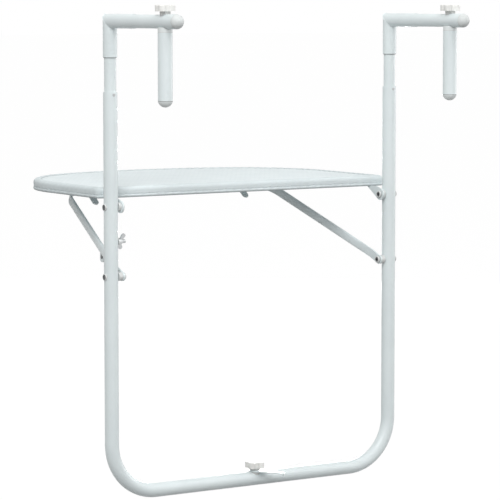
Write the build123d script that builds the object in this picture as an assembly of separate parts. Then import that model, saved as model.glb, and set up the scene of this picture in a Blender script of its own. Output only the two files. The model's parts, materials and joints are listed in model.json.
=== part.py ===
from build123d import *
import math
import os

# Hanging balcony table: a U-shaped tube frame on two rail hooks, with a moulded fold-down top.
# Millimetres. X runs along the railing, +Y points from the user to the railing, Z is up.
# The origin is midway between the uprights, level with the undersides of the hook arms.
# Right and left are those of a user who faces the railing.

os.makedirs("parts", exist_ok=True)

# Frame tube
upright_spacing = 575.0
tube_diameter = 24.0
tube_wall = 1.5
bend_radius = 85.0

# Heights above the axis of the crossbar, and distances along the uprights
mouth_height = 679.0
hinge_height = 487.0
telescope_show = 58.0
hook_leg_length = 60.0
top_above_hinge = 14.0
brace_below_hinge = 117.0
lock_above_brace = 59.0

# Hooks
telescope_clearance = 0.3
inner_tube_wall = 1.2
inner_tube_above_hinge = 72.0
inner_tube_in_leg = 34.0
arm_beyond_jaw = 35.0
arm_dome = 12.0
cap_plug_length = 14.0
cap_groove_height = 0.8
cap_groove_depth = 0.7
set_screw_diameter = 5.0
set_screw_drop = 4.5
set_screw_proud = 0.4
set_screw_socket = 2.5

# Jaws that close the hooks round a rail
jaw_reach = 176.0
jaw_travel = 95.0
jaw_tube_length = 110.5
jaw_dome = 10.6
saddle_height = 4.5
saddle_horn = 3.0
jaw_plug_length = 18.0
stud_diameter = 8.0
stud_slot_clearance = 0.5
stud_below_nut = 4.0
jaw_nut_width = 13.0
jaw_nut_height = 6.5
knob_washer_diameter = 17.0
knob_washer_rise = 0.5

# Four-lobed clamp knob
knob_span = 35.0
knob_lobe_width = 13.0
knob_head_height = 10.5
knob_neck_diameter = 16.5
knob_neck_height = 3.8
knob_edge_round = 1.6
knob_turn = 33.0
knob_socket_depth = 9.0

# Foot hook on the crossbar
foot_insert_diameter = 11.0
foot_insert_length = 13.0
foot_saddle_diameter = 20.0
foot_saddle_rise = 0.4
foot_hook_thickness = 2.4
foot_hook_length = 60.0
foot_hook_root_width = 22.0
foot_hook_tip_width = 12.0
foot_hook_lip = 5.0
foot_hook_turn = 27.0
foot_stud_below_insert = 2.0

# Tabletop moulding
top_side_overhang = 9.0
top_depth = 387.0
top_back_offset = 28.0
top_front_corner = 200.0
top_front_radius = 520.0
top_back_corner = 8.0
rim_height = 16.0
rim_bead_height = 3.5
rim_bead_step = 1.0
rim_round = 4.5
rim_wall = 3.2
panel_thickness = 4.0
rib_thickness = 2.2
rib_depth = 9.5
rib_pitch = 56.0
stop_ramp_angle = 20.0
stop_ramp_gap = 0.5
stop_ramp_floor = 0.5
pad_width = 44.0
pad_length = 24.0

# Hinge brackets
plate_thickness = 3.0
flat_gap = 0.1
hinge_washer_thickness = 5.0
washer_diameter = 15.0
bracket_eye_radius = 10.5
bracket_lobe_start = 12.0
bracket_lobe_end = 40.0
bracket_recess = 6.0
bracket_wall_gap = 0.8
bracket_flange_width = 32.0
bracket_flange_length = 14.0
bracket_screw_diameter = 4.2
bracket_screw_head = 7.5
bracket_screw_head_height = 2.4
bracket_screw_length = 7.0
bracket_screw_tip_gap = 0.5
bracket_screw_spacing = 17.0

# Pivot bolts
bolt_diameter = 6.0
bolt_running_clearance = 0.1
bolt_head_diameter = 12.0
bolt_head_height = 3.2
socket_width = 4.0
socket_depth = 2.0
nut_diameter = 11.0
nut_rise = 1.4
bolt_end_recess = 0.4

# Brace: one flat strip bent to a U
brace_length = 321.0
brace_width = 15.0
brace_spacer_thickness = 7.5
brace_end = 8.5
brace_flat = 25.0
brace_flat_radius = 30.0
brace_corner_x = 212.0
brace_corner_radius = 55.0
brace_seat_clearance = 0.3
tongue_width = 12.0
tongue_length = 30.0
tongue_thickness = 2.5
tongue_from_bend = 0.5
tongue_droop = 14.0
eye_plate_station = 96.0
eye_plate_width = 21.0
eye_plate_length = 23.0
eye_plate_thickness = 2.5
eye_plate_drop = 11.0
eye_hole_drop = 12.5
eye_rivet_diameter = 9.0
eye_rivet_head = 12.0
eye_rivet_head_height = 2.0
eye_rivet_proud = 0.8

# Lock stud and wing nut on the right upright
lock_stud_diameter = 6.0
lock_stud_root = 10.0
lock_root_height = 5.0
lock_washer_diameter = 12.0
lock_washer_thickness = 1.6
lock_stud_projection = 15.0
wing_span_radius = 15.0
wing_height = 10.5
wing_thickness = 3.0
wing_tip_radius = 3.6
wing_hub_base = 12.0
wing_hub_top = 9.0
wing_hub_height = 6.5
wing_turn = 28.0

sides = {"right": 1, "left": -1}

# Values worked out from the driving dimensions
tube_radius = tube_diameter / 2
tube_bore = tube_diameter - 2 * tube_wall
inner_tube_diameter = tube_bore - 2 * telescope_clearance
half_spacing = upright_spacing / 2
leg_end_height = mouth_height + telescope_show
arm_height = leg_end_height + hook_leg_length
brace_height = hinge_height - brace_below_hinge
lock_height = brace_height + lock_above_brace
arm_length = jaw_reach + arm_beyond_jaw
top_half_width = half_spacing + top_side_overhang
bracket_flange_start = top_back_offset + rim_bead_step + rim_wall + bracket_wall_gap
upright_inner_x = half_spacing - tube_radius
upright_outer_x = half_spacing + tube_radius
stud_hole = stud_diameter + 2 * stud_slot_clearance
running_hole = bolt_diameter + 2 * bolt_running_clearance
screw_hole = bracket_screw_diameter + 2 * bolt_running_clearance
bracket_outer_x = upright_inner_x - hinge_washer_thickness - flat_gap
brace_outer_x = upright_inner_x - brace_spacer_thickness - flat_gap
bracket_inner_x = bracket_outer_x - plate_thickness
brace_inner_x = brace_outer_x - plate_thickness


def height(above_crossbar):
    """Z of a point that lies this far above the crossbar's axis."""
    return above_crossbar - (arm_height - tube_radius)


def rod(diameter, length):
    """Cylinder that stands on the XY plane."""
    return Cylinder(diameter / 2, length, align=(Align.CENTER, Align.CENTER, Align.MIN))


def pipe(diameter, wall, length):
    return rod(diameter, length) - rod(diameter - 2 * wall, length)


def hex_prism(width, length):
    return extrude(RegularPolygon(width / 2, 6, major_radius=False), length)


def along(origin, direction):
    """Plane whose normal runs along the given direction."""
    return Plane(origin=origin, z_dir=direction)


def round_top(solid, radius):
    return fillet(solid.faces().sort_by(Axis.Z)[-1].edges(), radius)


def save(name, shape):
    export_step(shape, f"parts/{name}.step")


def domed_cap(dome):
    """Plug for a tube's mouth at Z = 0, with a groove round its foot and a round dome above it."""
    plug_radius = tube_bore / 2 - bolt_running_clearance
    groove_radius = tube_radius - cap_groove_depth
    steps = Polyline((0, dome), (0, -cap_plug_length), (plug_radius, -cap_plug_length), (plug_radius, 0),
                     (groove_radius, 0), (groove_radius, cap_groove_height),
                     (tube_radius, cap_groove_height))
    dome_rise = dome - cap_groove_height
    ball_radius = (tube_radius ** 2 + dome_rise ** 2) / (2 * dome_rise)
    ball_z = dome - ball_radius
    middle_angle = (math.atan2(cap_groove_height - ball_z, tube_radius) + math.pi / 2) / 2
    middle = (ball_radius * math.cos(middle_angle), ball_z + ball_radius * math.sin(middle_angle))
    curve = ThreePointArc((tube_radius, cap_groove_height), middle, (0, dome))
    return revolve(Plane.XZ * make_face(Curve() + [steps, curve]), axis=Axis.Z)


def clamp_knob():
    """Four-lobed knob on a short neck, standing on Z = 0, with a blind socket for its stud."""
    outline = SlotOverall(knob_span, knob_lobe_width)
    outline += SlotOverall(knob_span, knob_lobe_width, rotation=90)
    inner_corners = [v for v in outline.vertices() if math.hypot(v.X, v.Y) < knob_lobe_width * 0.75]
    inner_round = (knob_span / 2 - knob_lobe_width) * 0.8
    head = extrude(fillet(inner_corners, inner_round), knob_head_height)
    head = round_top(head, knob_edge_round)
    knob = rod(knob_neck_diameter, knob_neck_height + knob_edge_round)
    knob += Pos(0, 0, knob_neck_height) * head
    return knob - rod(stud_diameter + bolt_running_clearance, knob_socket_depth)


def frame_tube():
    bottom = height(0)
    top = height(mouth_height)
    path = FilletPolyline((-half_spacing, 0, top), (-half_spacing, 0, bottom),
                          (half_spacing, 0, bottom), (half_spacing, 0, top), radius=bend_radius)
    section = Circle(tube_radius) - Circle(tube_bore / 2)
    tube = sweep(along(path @ 0, path % 0) * section, path=path)
    cross_bore = Rot(0, 90, 0) * Cylinder(running_hole / 2, 2 * tube_diameter)
    screw_bore = rod(set_screw_diameter + bolt_running_clearance, tube_diameter)
    for side in sides.values():
        for bolt_height in (hinge_height, brace_height):
            tube -= Pos(side * half_spacing, 0, height(bolt_height)) * cross_bore
        tube -= along((side * half_spacing, 0, top - set_screw_drop), (0, 1, 0)) * screw_bore
    tube -= along((half_spacing, 0, height(lock_height)), (-1, 0, 0)) * rod(
        lock_stud_diameter + bolt_running_clearance, tube_diameter)
    return tube - Pos(0, 0, bottom) * rod(foot_insert_diameter + bolt_running_clearance, tube_diameter)


def tube_set_screws():
    """Socket screws in the frame tube's mouth that pinch the inner tubes."""
    start = inner_tube_diameter / 2 + telescope_clearance
    length = tube_radius + set_screw_proud - start
    screw = rod(set_screw_diameter, length)
    screw -= Pos(0, 0, length / 2) * hex_prism(set_screw_socket, length)
    screw_z = height(mouth_height) - set_screw_drop
    return Compound([along((side * half_spacing, start, screw_z), (0, 1, 0)) * screw
                     for side in sides.values()])


def hook_arm(side):
    """Leg and arm of one tube size, mitred at the corner, with a slot for the jaw's stud."""
    axis_z = tube_radius
    mitre = along((0, 0, axis_z), (0, 1, 1))
    leg_length = arm_height - leg_end_height

    def elbow(diameter):
        leg = Pos(0, 0, height(leg_end_height)) * rod(diameter, leg_length + diameter)
        arm = along((0, -diameter, axis_z), (0, 1, 0)) * rod(diameter, arm_length + diameter)
        return split(leg, mitre, keep=Keep.BOTTOM) + split(arm, mitre, keep=Keep.TOP)

    slot_length = jaw_travel + stud_hole
    slot_middle = jaw_reach - jaw_travel / 2
    slot = extrude(SlotOverall(slot_length, stud_hole, rotation=90), 2 * tube_diameter)
    hook = elbow(tube_diameter) - elbow(tube_bore) - Pos(0, slot_middle, -tube_radius) * slot
    return Pos(side * half_spacing, 0, 0) * hook


def inner_tube(side):
    bottom = height(hinge_height + inner_tube_above_hinge)
    top = height(leg_end_height + inner_tube_in_leg)
    return Pos(side * half_spacing, 0, bottom) * pipe(inner_tube_diameter, inner_tube_wall, top - bottom)


def arm_cap(side):
    return along((side * half_spacing, arm_length, tube_radius), (0, 1, 0)) * domed_cap(arm_dome)


def arm_round(clearance):
    """Cylinder round the arm's axis that a seat on the arm is cut with."""
    return Pos(0, 0, tube_radius) * Rot(90, 0, 0) * Cylinder(
        tube_radius + clearance, 2 * tube_diameter)


def at_jaw(side, shape):
    return Pos(side * half_spacing, jaw_reach, 0) * shape


def jaw_saddle(side):
    block = Pos(0, 0, -saddle_height) * rod(tube_diameter, saddle_height + saddle_horn)
    block -= Pos(0, 0, -saddle_height) * rod(stud_hole, tube_diameter)
    return at_jaw(side, block - arm_round(telescope_clearance))


def jaw_tube(side):
    return at_jaw(side, Pos(0, 0, -saddle_height - jaw_tube_length) * pipe(
        tube_diameter, tube_wall, jaw_tube_length))


def jaw_plug(side):
    bottom = -saddle_height - jaw_plug_length
    plug = rod(tube_bore - 2 * bolt_running_clearance, jaw_plug_length)
    plug -= rod(stud_hole, jaw_plug_length)
    plug -= hex_prism(jaw_nut_width + 2 * bolt_running_clearance, jaw_nut_height)
    return at_jaw(side, Pos(0, 0, bottom) * plug)


def jaw_nut(side):
    nut = hex_prism(jaw_nut_width, jaw_nut_height) - rod(
        stud_diameter + bolt_running_clearance, jaw_nut_height)
    return at_jaw(side, Pos(0, 0, -saddle_height - jaw_plug_length) * nut)


def jaw_cap(side):
    bottom = -saddle_height - jaw_tube_length
    return at_jaw(side, Pos(0, 0, bottom) * Rot(180, 0, 0) * domed_cap(jaw_dome))


def knob_washer(side):
    """Washer that is flat under the knob and hollow over the arm."""
    washer = Pos(0, 0, tube_radius) * rod(knob_washer_diameter, tube_radius + knob_washer_rise)
    washer -= arm_round(telescope_clearance)
    return at_jaw(side, washer - rod(stud_hole, 2 * tube_diameter))


knob_seat = tube_diameter + knob_washer_rise + flat_gap


def jaw_knob(side):
    return at_jaw(side, Pos(0, 0, knob_seat) * Rot(0, 0, knob_turn) * clamp_knob())


def knob_stud(side):
    bottom = -saddle_height - jaw_plug_length - stud_below_nut
    return at_jaw(side, Pos(0, 0, bottom) * rod(stud_diameter, knob_seat + knob_socket_depth - bottom))


def socket_bolt(grip):
    """Round-headed socket bolt: head above Z = 0, shank below it."""
    head = round_top(rod(bolt_head_diameter, bolt_head_height), bolt_head_height / 2)
    head -= Pos(0, 0, bolt_head_height - socket_depth) * hex_prism(socket_width, socket_depth)
    return head + Pos(0, 0, -grip) * rod(bolt_diameter, grip)


def pivot_bolts(plate_x, bolt_height):
    head_x = plate_x - flat_gap
    grip = upright_outer_x + nut_rise - bolt_end_recess - head_x
    return Compound([along((side * head_x, 0, height(bolt_height)), (-side, 0, 0)) * socket_bolt(grip)
                     for side in sides.values()])


def pivot_nuts(bolt_height):
    """Low round nuts, hollow underneath, that sit on the uprights' outer sides."""
    reach = tube_radius + nut_rise
    nut = rod(nut_diameter, reach) - rod(bolt_diameter + bolt_running_clearance, reach)
    nut -= Rot(90, 0, 0) * Cylinder(tube_radius, 2 * tube_diameter)
    return Compound([Pos(side * half_spacing, 0, height(bolt_height)) * Rot(0, side * 90, 0)
                     * Rot(0, 0, 90) * nut for side in sides.values()])


def pivot_washers(thickness, bolt_height):
    washer = rod(washer_diameter, thickness) - rod(running_hole, thickness)
    return Compound([along((side * upright_inner_x, 0, height(bolt_height)), (-side, 0, 0)) * washer
                     for side in sides.values()])


def top_outline(inset):
    """Tabletop outline: straight back and sides, wide front corners and a bowed front edge."""
    front_y = -top_back_offset - top_depth
    bow_y = front_y + top_front_radius
    corner_x = top_half_width - top_front_corner
    corner_y = bow_y - math.sqrt((top_front_radius - top_front_corner) ** 2 - corner_x ** 2)
    turn = math.degrees(math.atan2(bow_y - corner_y, corner_x))
    radius = top_front_corner - inset
    back_y = -top_back_offset - inset
    half_width = top_half_width - inset
    right = CenterArc((corner_x, corner_y), radius, 0, -turn)
    front = CenterArc((0, bow_y), top_front_radius - inset, -turn, 2 * turn - 180)
    left = CenterArc((-corner_x, corner_y), radius, turn - 180, -turn)
    back = Polyline((-half_width, corner_y), (-half_width, back_y), (half_width, back_y),
                    (half_width, corner_y))
    sheet = make_face(Curve() + [right, front, left, back])
    return fillet(sheet.vertices().group_by(Axis.Y)[-1], top_back_corner - inset)


# The brace rises until the outer top corner of its bar meets the tabletop's ribs
rim_bottom = height(hinge_height + top_above_hinge)
hollow_depth = rim_height - panel_thickness
rib_floor = hollow_depth - rib_depth
seat_rise = rim_bottom + rib_floor - brace_seat_clearance - height(brace_height)
corner_reach = math.hypot(brace_length + plate_thickness / 2, brace_width / 2)
corner_lead = math.atan2(brace_width / 2, brace_length + plate_thickness / 2)
brace_slope = math.asin(seat_rise / corner_reach) - corner_lead
bar_outer_y = -corner_reach * math.cos(brace_slope + corner_lead)


# Bracket pads and screws under the tabletop
pad_x = bracket_outer_x - pad_width / 2
screw_y = -bracket_flange_start - bracket_flange_length / 2
screw_middle_x = bracket_inner_x - bracket_flange_width / 2
screw_places = [(side * (screw_middle_x + step * bracket_screw_spacing / 2), screw_y)
                for side in sides.values() for step in (-1, 1)]


def rib_grid():
    """Ribs of the underside. Those along Y have a ramp that stops the bar from sliding outwards."""
    ramp_start = bar_outer_y - stop_ramp_gap
    ramp_end = ramp_start - (rib_floor - stop_ramp_floor) / math.tan(math.radians(stop_ramp_angle))
    front_y = -top_back_offset - top_depth
    profile = Polyline((-top_back_offset, hollow_depth), (-top_back_offset, rib_floor),
                       (ramp_start, rib_floor), (ramp_end, stop_ramp_floor),
                       (front_y, stop_ramp_floor), (front_y, hollow_depth), close=True)
    rib = extrude(Plane.YZ * make_face(profile), rib_thickness / 2, both=True)
    count_across = int(top_half_width // rib_pitch)
    ribs = [Pos(i * rib_pitch, 0, 0) * rib for i in range(-count_across, count_across + 1)]
    cross_rib = Box(2 * top_half_width, rib_thickness, hollow_depth - rib_floor,
                    align=(Align.CENTER, Align.CENTER, Align.MIN))
    count_deep = int(top_depth // rib_pitch)
    ribs += [Pos(0, -top_back_offset - i * rib_pitch, rib_floor) * cross_rib
             for i in range(1, count_deep + 1)]
    return ribs


def tabletop():
    """Moulded tray turned upside down: beaded rim, panel, ribs and two sunk bracket pads."""
    body = round_top(extrude(top_outline(rim_bead_step), rim_height), rim_round)
    bead = extrude(top_outline(0), rim_bead_height)
    bead = fillet(bead.edges().filter_by(Plane.XY), rim_bead_step * 0.75)
    hollow = extrude(top_outline(rim_bead_step + rim_wall), hollow_depth)
    tray = body + bead - hollow
    ribs = Part() + rib_grid()
    pad = Box(pad_width, pad_length, hollow_depth, align=(Align.CENTER, Align.MAX, Align.MIN))
    for side in sides.values():
        place = Pos(side * pad_x, -top_back_offset, bracket_recess)
        ribs = ribs - Pos(0, 0, -hollow_depth) * place * pad + place * pad
    tray += ribs & hollow
    for x, y in screw_places:
        tray -= Pos(x, y, bracket_recess) * rod(screw_hole, bracket_screw_length)
    return Pos(0, 0, rim_bottom) * tray


def hinge_bracket(side):
    """Upright plate with the hinge eye. Behind the rim it rises to a flange screwed under the top."""
    hinge_z = height(hinge_height)
    top_edge = Line((-bracket_lobe_start, rim_bottom - hinge_z), (-bracket_lobe_end, rim_bottom - hinge_z))
    lobe = make_hull(Circle(bracket_eye_radius).edges() + top_edge.edges())
    face = Plane(origin=(bracket_inner_x, 0, hinge_z), x_dir=(0, 1, 0), z_dir=(1, 0, 0))
    corner = Pos(bracket_outer_x, -bracket_flange_start, rim_bottom + bracket_recess)
    neck = corner * Box(plate_thickness, bracket_flange_length, bracket_recess, align=Align.MAX)
    flange = corner * Box(plate_thickness + bracket_flange_width, bracket_flange_length, plate_thickness,
                          align=Align.MAX)
    bracket = extrude(face * lobe, plate_thickness) + neck + flange
    bracket -= face * Cylinder(running_hole / 2, 4 * plate_thickness)
    for x, y in screw_places:
        bracket -= Pos(x, y, rim_bottom) * Cylinder(screw_hole / 2, 4 * bracket_recess)
    return bracket if side > 0 else mirror(bracket, about=Plane.YZ)


def bracket_screws():
    head = round_top(rod(bracket_screw_head, bracket_screw_head_height), bracket_screw_head_height / 2)
    shank_length = plate_thickness + bracket_screw_length - bracket_screw_tip_gap
    screw = head + Pos(0, 0, -shank_length) * rod(bracket_screw_diameter, shank_length)
    head_z = rim_bottom + bracket_recess - plate_thickness
    return Compound([along((x, y, head_z), (0, 0, -1)) * screw
                     for x, y in screw_places])


# The brace lies in an inclined plane: local X along the railing, local Y outwards from the pivots,
# local Z towards its underside.
brace_plane = Plane(origin=(0, 0, height(brace_height)), x_dir=(1, 0, 0),
                    z_dir=(0, -math.sin(brace_slope), -math.cos(brace_slope)))
brace_end_x = brace_outer_x - plate_thickness / 2
leg_run = Vector(brace_corner_x - brace_end_x, brace_length - brace_flat, 0).normalized()


def brace_strip():
    path = FilletPolyline((-brace_end_x, -brace_end), (-brace_end_x, brace_flat),
                          (-brace_corner_x, brace_length), (brace_corner_x, brace_length),
                          (brace_end_x, brace_flat), (brace_end_x, -brace_end),
                          radius=(brace_flat_radius, brace_corner_radius,
                                  brace_corner_radius, brace_flat_radius))
    start = Plane(origin=path @ 0, x_dir=(1, 0, 0), z_dir=path % 0)
    strip = sweep(start * Rectangle(plate_thickness, brace_width), path=path)
    strip = fillet(strip.edges().filter_by(Axis.X).group_by(Axis.Y)[0], brace_width / 2 * 0.95)
    for side in sides.values():
        strip -= Pos(side * brace_end_x, 0, 0) * Rot(0, 90, 0) * Cylinder(
            running_hole / 2, 4 * plate_thickness)
    return brace_plane * strip


def brace_tongues():
    """Two flat tongues welded to the bar's inner face at its lower edge, pointing back and down."""
    half_width = tongue_width / 2
    slot = extrude(SlotOverall(tongue_length + half_width, tongue_width, rotation=90), -tongue_thickness)
    square_end = Box(tongue_width, tongue_length, 4 * tongue_thickness,
                     align=(Align.CENTER, Align.MIN, Align.CENTER))
    tongue = Pos(0, -tongue_length / 2, 0) * slot - square_end
    weld_y = brace_length - plate_thickness / 2
    place = Pos(0, weld_y, brace_width / 2) * Rot(-tongue_droop, 0, 0)
    bend_angle = math.acos(-leg_run.X)
    straight_half = brace_corner_x - brace_corner_radius * math.tan(bend_angle / 2)
    tongue_x = straight_half - tongue_from_bend - half_width
    return brace_plane * Compound([Pos(side * tongue_x, 0, 0) * place * tongue
                                   for side in sides.values()])


# The right leg's middle in the brace's plane: local X along the leg, local Y to its underside,
# local Z outwards
leg_face = Plane(origin=(brace_end_x, brace_flat, 0), x_dir=leg_run,
                 z_dir=leg_run.cross(Vector(0, 0, 1)))


def brace_eye_plate():
    """Rounded plate welded on the inner face of the right leg, standing past its lower edge."""
    plate = Pos(0, eye_plate_drop) * SlotOverall(eye_plate_length, eye_plate_width, rotation=90)
    plate -= Pos(0, eye_hole_drop) * Circle(eye_rivet_diameter / 2)
    place = leg_face * Pos(eye_plate_station - brace_flat, 0, -plate_thickness / 2)
    return brace_plane * place * extrude(plate, -eye_plate_thickness)


def eye_rivet():
    """Pin in the eye plate, with its head on the plate's inner face."""
    length = eye_plate_thickness + eye_rivet_proud
    pin = Pos(0, 0, -eye_plate_thickness) * rod(eye_rivet_diameter, length)
    pin = fillet(pin.faces().sort_by(Axis.Z)[-1].edges(), eye_rivet_proud / 2)
    head = round_top(rod(eye_rivet_head, eye_rivet_head_height), eye_rivet_head_height / 2)
    pin += Pos(0, 0, -eye_plate_thickness) * Rot(180, 0, 0) * head
    place = leg_face * Pos(eye_plate_station - brace_flat, eye_hole_drop, -plate_thickness / 2)
    return brace_plane * place * pin


lock_axis = along((upright_inner_x, 0, height(lock_height)), (-1, 0, 0))


def lock_stud():
    inside = tube_wall + 2 * bolt_running_clearance + lock_root_height
    stud = Pos(0, 0, -inside) * rod(lock_stud_diameter, inside + lock_stud_projection)
    stud += Pos(0, 0, -inside) * rod(lock_stud_root, lock_root_height - tube_wall)
    return lock_axis * stud


def lock_washer():
    washer = rod(lock_washer_diameter, lock_washer_thickness)
    return lock_axis * (washer - rod(lock_stud_diameter + bolt_running_clearance, lock_washer_thickness))


def lock_wing_nut():
    hub = Cone(wing_hub_base / 2, wing_hub_top / 2, wing_hub_height,
               align=(Align.CENTER, Align.CENTER, Align.MIN))
    tip = Pos(wing_span_radius - wing_tip_radius, wing_height - wing_tip_radius) * Circle(wing_tip_radius)
    root = Pos(wing_hub_top / 4, wing_hub_height / 2) * Circle(wing_hub_top / 4)
    wing = extrude(Plane.XZ * make_hull(tip.edges() + root.edges()), wing_thickness / 2, both=True)
    nut = hub + wing + mirror(wing, about=Plane.YZ)
    nut -= rod(lock_stud_diameter + bolt_running_clearance, wing_height)
    turn = math.radians(wing_turn)
    place = Plane(origin=lock_axis.origin, x_dir=(0, math.sin(turn), math.cos(turn)), z_dir=(-1, 0, 0))
    return place * Pos(0, 0, lock_washer_thickness + flat_gap) * nut


crown = height(tube_radius)
foot_plate_z = crown + foot_saddle_rise + flat_gap
foot_knob_z = foot_plate_z + foot_hook_thickness + flat_gap


insert_bottom = height(math.sqrt(tube_radius ** 2 - (foot_insert_diameter / 2) ** 2)) - foot_insert_length


def foot_insert():
    insert = rod(foot_insert_diameter, foot_insert_length) - rod(
        stud_diameter + bolt_running_clearance, foot_insert_length)
    return Pos(0, 0, insert_bottom) * insert


def foot_saddle():
    """Seat that is hollow over the crossbar and flat under the hook plate."""
    block = rod(foot_saddle_diameter, tube_radius + foot_saddle_rise)
    block -= Rot(0, 90, 0) * Cylinder(tube_radius + bolt_running_clearance, 2 * tube_diameter)
    return Pos(0, 0, height(0)) * (block - rod(stud_hole, tube_diameter))


def foot_hook_plate():
    """Tapered plate that swivels on the foot stud, with a short lip at its tip."""
    tip_radius = foot_hook_tip_width / 2
    root = Circle(foot_hook_root_width / 2)
    tip = Pos(0, foot_hook_length - tip_radius) * Circle(tip_radius)
    plate = extrude(make_hull(root.edges() + tip.edges()), foot_hook_thickness)
    lip = Pos(0, foot_hook_length - foot_hook_thickness, foot_hook_thickness / 2) * Box(
        tip_radius, foot_hook_thickness, foot_hook_lip, align=(Align.CENTER, Align.MIN, Align.MAX))
    hook = plate + lip - rod(stud_hole, foot_hook_thickness)
    return Pos(0, 0, foot_plate_z) * Rot(0, 0, foot_hook_turn) * hook


def foot_knob():
    return Pos(0, 0, foot_knob_z) * Rot(0, 0, knob_turn) * clamp_knob()


def foot_stud():
    bottom = insert_bottom - foot_stud_below_insert
    return Pos(0, 0, bottom) * rod(stud_diameter, foot_knob_z + knob_socket_depth - bottom)


save("u_frame_tube", frame_tube())
save("hinge_bolts", pivot_bolts(bracket_inner_x, hinge_height))
save("hinge_nuts", pivot_nuts(hinge_height))
save("hinge_washers", pivot_washers(hinge_washer_thickness, hinge_height))
save("brace_bolts", pivot_bolts(brace_inner_x, brace_height))
save("brace_nuts", pivot_nuts(brace_height))
save("brace_spacers", pivot_washers(brace_spacer_thickness, brace_height))
save("tabletop_panel", tabletop())
for piece in (tube_set_screws, bracket_screws, brace_strip, brace_tongues, brace_eye_plate, eye_rivet,
              lock_stud, lock_washer, lock_wing_nut, foot_insert, foot_saddle, foot_hook_plate, foot_knob,
              foot_stud):
    save(piece.__name__, piece())
for side_name, side_sign in sides.items():
    for piece in (hook_arm, inner_tube, arm_cap, jaw_saddle, jaw_tube, jaw_plug, jaw_nut, jaw_cap,
                  knob_washer, jaw_knob, knob_stud, hinge_bracket):
        save(f"{side_name}_{piece.__name__}", piece(side_sign))
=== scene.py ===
# %% [markdown]
# # A balcony table that hangs on a railing
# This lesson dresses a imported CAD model. The tubes, brackets, knobs and bolts come from the CAD frame
# and keep their shapes. Blender adds what a mould or a weld leaves behind: the woven relief of the top,
# its braided rim, the grooved collars of the knobs, a thread and weld beads. It also adds the finishes
# and the light.

# %% Load the frame
import json
import math

import bmesh
import bpy
from mathutils import Matrix, Vector


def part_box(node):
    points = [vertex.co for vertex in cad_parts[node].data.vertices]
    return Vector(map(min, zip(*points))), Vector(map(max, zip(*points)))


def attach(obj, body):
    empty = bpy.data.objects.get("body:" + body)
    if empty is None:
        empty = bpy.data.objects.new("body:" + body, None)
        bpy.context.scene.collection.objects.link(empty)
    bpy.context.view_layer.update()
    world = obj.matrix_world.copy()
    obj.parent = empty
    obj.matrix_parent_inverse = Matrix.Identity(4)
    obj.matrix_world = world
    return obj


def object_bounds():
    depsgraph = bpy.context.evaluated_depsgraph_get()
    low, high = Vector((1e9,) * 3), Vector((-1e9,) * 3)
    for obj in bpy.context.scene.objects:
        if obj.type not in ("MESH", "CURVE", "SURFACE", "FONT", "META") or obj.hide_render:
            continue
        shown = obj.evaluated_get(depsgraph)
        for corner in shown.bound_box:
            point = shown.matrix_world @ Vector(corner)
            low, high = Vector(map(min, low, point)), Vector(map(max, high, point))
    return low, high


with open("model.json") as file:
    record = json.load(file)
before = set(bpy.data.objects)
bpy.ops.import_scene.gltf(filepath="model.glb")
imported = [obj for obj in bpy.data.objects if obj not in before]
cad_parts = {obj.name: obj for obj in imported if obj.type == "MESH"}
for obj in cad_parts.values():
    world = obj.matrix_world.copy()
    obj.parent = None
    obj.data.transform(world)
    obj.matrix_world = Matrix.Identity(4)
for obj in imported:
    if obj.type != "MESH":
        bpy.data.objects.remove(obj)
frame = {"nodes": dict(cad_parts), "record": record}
cad_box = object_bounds()
print("CAD box:", cad_box)

# %% [markdown]
# ## The camera
# The photograph was taken with a long lens from the railing side, a little above the arms. The place,
# the turn and the focal length below were solved from the straight tubes, so no shift is needed.

# %% Camera
photo_side = 500
focal_pixels = 2607.0
sensor_width = 36.0
camera_yaw = math.radians(-33.227)
camera_pitch = math.radians(-5.387)
camera_place = (2.4725, 3.7599, 0.0399)
look = Vector((math.sin(camera_yaw) * math.cos(camera_pitch),
               -math.cos(camera_yaw) * math.cos(camera_pitch),
               math.sin(camera_pitch)))
camera_data = bpy.data.cameras.new("photo_camera")
camera_data.sensor_width = sensor_width
camera_data.lens = focal_pixels * sensor_width / photo_side
camera = bpy.data.objects.new("photo_camera", camera_data)
camera.location = camera_place
camera.rotation_euler = look.to_track_quat("-Z", "Y").to_euler()
bpy.context.collection.objects.link(camera)
bpy.context.scene.camera = camera
print("Camera lens:", round(camera_data.lens, 1), "mm")

# %% [markdown]
# ## Small helpers
# Every finish is a Principled shader fed by a few texture nodes, so one helper makes the nodes and
# another joins them. Every new piece is a bmesh that becomes an object at the origin, with its place in
# its mesh.


# %% Helpers for nodes
def new_finish(name, roughness):
    finish = bpy.data.materials.new(name)
    finish.use_nodes = True
    shader = finish.node_tree.nodes["Principled BSDF"]
    shader.inputs["Roughness"].default_value = roughness
    return finish, shader


def add_node(finish, kind, **values):
    node = finish.node_tree.nodes.new(kind)
    for name, value in values.items():
        socket = node.inputs.get(name.replace("_", " "))
        if socket is not None:
            socket.default_value = value
        else:
            setattr(node, name, value)
    return node


def join(finish, start, end):
    finish.node_tree.links.new(start, end)


# %% Helper for pieces
merge_reach = 0.00002
fine_reach = 0.00001


def piece_from(shape, name, body, finish, smooth=True):
    """Makes an object of a bmesh, gives it a finish and lets it ride on a body."""
    mesh = bpy.data.meshes.new(name)
    shape.to_mesh(mesh)
    shape.free()
    for face in mesh.polygons:
        face.use_smooth = smooth
    piece = bpy.data.objects.new(name, mesh)
    bpy.context.collection.objects.link(piece)
    piece.data.materials.append(finish)
    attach(piece, body)
    print(name, len(mesh.polygons), "faces")
    return piece
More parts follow.
